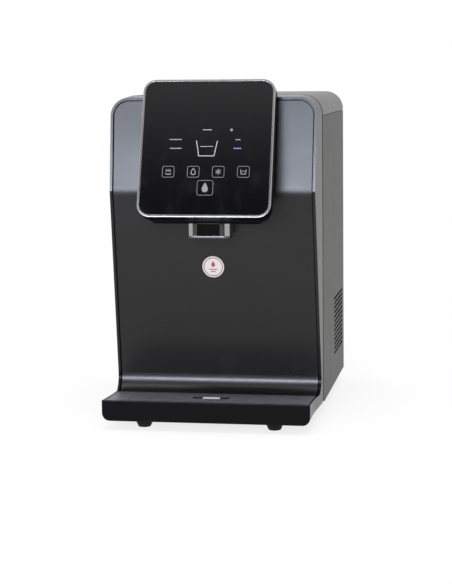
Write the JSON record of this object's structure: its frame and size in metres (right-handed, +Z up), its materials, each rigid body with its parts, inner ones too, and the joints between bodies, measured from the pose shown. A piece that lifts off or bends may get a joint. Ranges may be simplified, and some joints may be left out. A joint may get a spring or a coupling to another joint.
{
  "type": "water dispenser",
  "caption": "Countertop water dispenser with a tilted touch head and a spout over a drip tray, twist-in filters, and chilled and heated tanks in a black case.",
  "frame": {"origin": "on the floor under the middle of the footprint", "axes": "+X to the right seen from the front, +Y to the rear, +Z up"},
  "size_m": [0.28, 0.3904, 0.4533],
  "materials": {
    "gloss_black": "gloss",
    "gloss_grey": "gloss",
    "satin_grey": "satin",
    "matte_black": "matte",
    "tray_black": "satin",
    "rubber_black": "matte",
    "zinc_sheet": "satin",
    "screw_steel": "satin",
    "compressor_black": "satin",
    "aluminium": "satin",
    "copper_line": "satin",
    "stainless": "satin",
    "heater_steel": "satin",
    "foam_white": "matte",
    "jacket_grey": "matte",
    "thermostat_black": "matte",
    "white_plastic": "satin",
    "glass_black": "gloss",
    "chrome": "polished",
    "board_green": "satin",
    "foam_dark": "matte",
    "lamp_glass": "gloss",
    "label_white": "matte",
    "cap_blue": "satin",
    "cap_red": "satin",
    "hose_white": "satin"
  },
  "bodies": {
    "case": {"front_frame": "gloss_black", "left_side_panel": "gloss_black", "right_side_panel": "gloss_black", "front_panel": "satin_grey", "rear_panel": "matte_black", "base_chassis": "matte_black", "rear_panel_screws": "screw_steel", "label_disc": "label_white", "feet": "rubber_black", "tank_deck": "zinc_sheet", "head_bracket": "zinc_sheet", "compressor": "compressor_black", "compressor_grommets": "rubber_black", "condenser_bracket": "zinc_sheet", "condenser_tubes": "aluminium", "condenser_fins": "aluminium", "fan_shroud": "matte_black", "filter_drier": "copper_line", "refrigerant_pipes": "copper_line", "evaporator_coil": "copper_line", "cold_tank": "stainless", "cold_tank_foam": "foam_white", "cold_tank_lid": "foam_white", "hot_tank": "stainless", "band_heater": "heater_steel", "hot_tank_jacket": "jacket_grey", "thermostats": "thermostat_black", "filter_manifold": "matte_black", "touch_glass": "glass_black", "head_rim": "chrome", "head_shell": "gloss_grey", "display_board": "board_green", "touch_pads": "foam_dark", "head_neck": "gloss_black", "spout_sleeve": "chrome", "outlet_nozzle": "white_plastic", "steriliser_lamp": "lamp_glass", "water_inlet": "white_plastic", "drain_outlets": "white_plastic", "power_inlet": "matte_black", "switch_bodies": "matte_black", "inlet_valve": "white_plastic", "outlet_valves": "white_plastic", "water_hoses": "hose_white", "control_board_tray": "zinc_sheet", "control_board": "board_green"},
    "cover": {"top_cover": "gloss_black"},
    "tray": {"drip_tray": "matte_black"},
    "grille": {"tray_grille": "tray_black"},
    "float": {"tray_float": "white_plastic"},
    "fan": {"fan_rotor": "matte_black"},
    "heater_rocker": {"heater_switch": "cap_red"},
    "cooling_rocker": {"cooling_switch": "cap_blue"},
    "sediment": {"sediment_filter": "white_plastic"},
    "carbon": {"carbon_filter": "white_plastic"},
    "membrane": {"membrane_filter": "white_plastic"},
    "tank_float": {"level_float": "white_plastic"},
    "cold_cap": {"cold_drain_cap": "cap_blue"},
    "hot_cap": {"hot_drain_cap": "cap_red"}
  },
  "joints": [
    {"name": "cover_lift", "type": "slide", "parent": "case", "child": "cover", "axis": [0, 0, 1], "range_m": [0, 0.06]},
    {"name": "tray_lift", "type": "slide", "parent": "case", "child": "tray", "axis": [0, 0, 1], "range_m": [0, 0.05]},
    {"name": "grille_lift", "type": "slide", "parent": "tray", "child": "grille", "axis": [0, 0, 1], "range_m": [0, 0.03]},
    {"name": "float_rise", "type": "slide", "parent": "tray", "child": "float", "axis": [0, 0, 1], "range_m": [0, 0.005]},
    {"name": "fan_spin", "type": "hinge", "parent": "case", "child": "fan", "pos_m": [0.1125, 0.1166, 0.09962], "axis": [1, 0, 0], "continuous": true},
    {"name": "heater_rock", "type": "hinge", "parent": "case", "child": "heater_rocker", "pos_m": [0.084, 0.18885, 0.086], "axis": [0, 0, 1], "range_deg": [-14, 0]},
    {"name": "cooling_rock", "type": "hinge", "parent": "case", "child": "cooling_rocker", "pos_m": [0.084, 0.18885, 0.1115], "axis": [0, 0, 1], "range_deg": [-14, 0]},
    {"name": "tank_float_rise", "type": "slide", "parent": "case", "child": "tank_float", "axis": [0, 0, 1], "range_m": [0, 0.018]},
    {"name": "cold_cap_pull", "type": "slide", "parent": "case", "child": "cold_cap", "axis": [0, 1, 0], "range_m": [0, 0.02]},
    {"name": "hot_cap_pull", "type": "slide", "parent": "case", "child": "hot_cap", "axis": [0, 1, 0], "range_m": [0, 0.02]},
    {"name": "sediment_twist", "type": "hinge", "parent": "case", "child": "sediment", "pos_m": [-0.10858, -0.04223, 0.1712], "axis": [0, 0, 1], "range_deg": [0, 90]},
    {"name": "carbon_twist", "type": "hinge", "parent": "case", "child": "carbon", "pos_m": [-0.05474, -0.04223, 0.1712], "axis": [0, 0, 1], "range_deg": [0, 90]},
    {"name": "membrane_twist", "type": "hinge", "parent": "case", "child": "membrane", "pos_m": [-0.0009, -0.04223, 0.1712], "axis": [0, 0, 1], "range_deg": [0, 90]}
  ]
}
